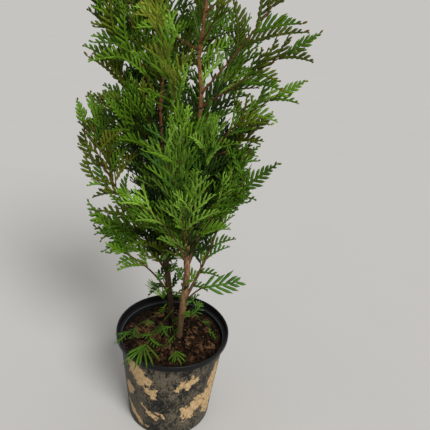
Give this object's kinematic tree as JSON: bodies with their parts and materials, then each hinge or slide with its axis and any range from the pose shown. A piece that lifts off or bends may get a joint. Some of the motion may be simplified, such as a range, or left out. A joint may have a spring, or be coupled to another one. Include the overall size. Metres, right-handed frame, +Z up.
{
  "type": "potted thuja",
  "caption": "Young two-stemmed thuja with flat ferny sprays, growing in a round tapered nursery pot filled with compost.",
  "frame": {"origin": "centre of the pot's flat underside", "axes": "+Z up the plant, -Y towards the side that the picture shows, +X to its right"},
  "size_m": [0.3219, 0.2733, 0.9511],
  "materials": {
    "pot_plastic": "thin black moulded plastic with dried tan clay on its wall",
    "compost": "moist dark composted bark in small chips",
    "stem_bark": "thin grey-brown bark in fine lengthwise strips, redder higher up",
    "bough_bark": "smooth red-brown young bark",
    "foliage": "scaly green sprays with a slight waxy sheen, bronze at some tips"
  },
  "bodies": {
    "root": {"pot": "pot_plastic", "compost": "compost", "front_stem": "stem_bark", "back_stem": "stem_bark", "right_top_bough": "bough_bark", "right_upper_front_bough": "bough_bark", "right_middle_front_bough": "bough_bark", "right_low_front_bough": "bough_bark", "right_low_bough": "bough_bark", "left_outer_bough": "bough_bark", "left_top_bough": "bough_bark", "centre_front_bough": "bough_bark", "centre_front_top_bough": "bough_bark", "back_left_bough": "bough_bark", "back_right_bough": "bough_bark", "right_top": "foliage", "right_upper_front": "foliage", "right_middle_front": "foliage", "right_middle": "foliage", "right_middle_back": "foliage", "right_low_front": "foliage", "right_inner": "foliage", "right_low": "foliage", "right_lowest": "foliage", "left_outer": "foliage", "left_top": "foliage", "left_middle": "foliage", "left_low": "foliage", "left_lowest": "foliage", "left_inner": "foliage", "left_front_bright": "foliage", "left_of_leader": "foliage", "centre_front": "foliage", "centre_front_top": "foliage", "centre_right_front": "foliage", "right_fork": "foliage", "left_middle_inner": "foliage", "back_low": "foliage", "back_low_right": "foliage", "back_left": "foliage", "back_right": "foliage", "back_middle": "foliage", "back_upper_right": "foliage", "back_upper": "foliage", "back_top_left": "foliage", "right_back": "foliage", "front_upper": "foliage", "back_crown": "foliage", "left_crown": "foliage", "front_crown": "foliage", "right_crown": "foliage", "top_crown": "foliage", "front_leader_tip": "foliage", "back_leader_tip": "foliage", "soil_front_left": "foliage", "soil_left": "foliage", "soil_front": "foliage", "soil_back_right": "foliage", "soil_back_left": "foliage", "soil_right": "foliage"}
  },
  "joints": []
}
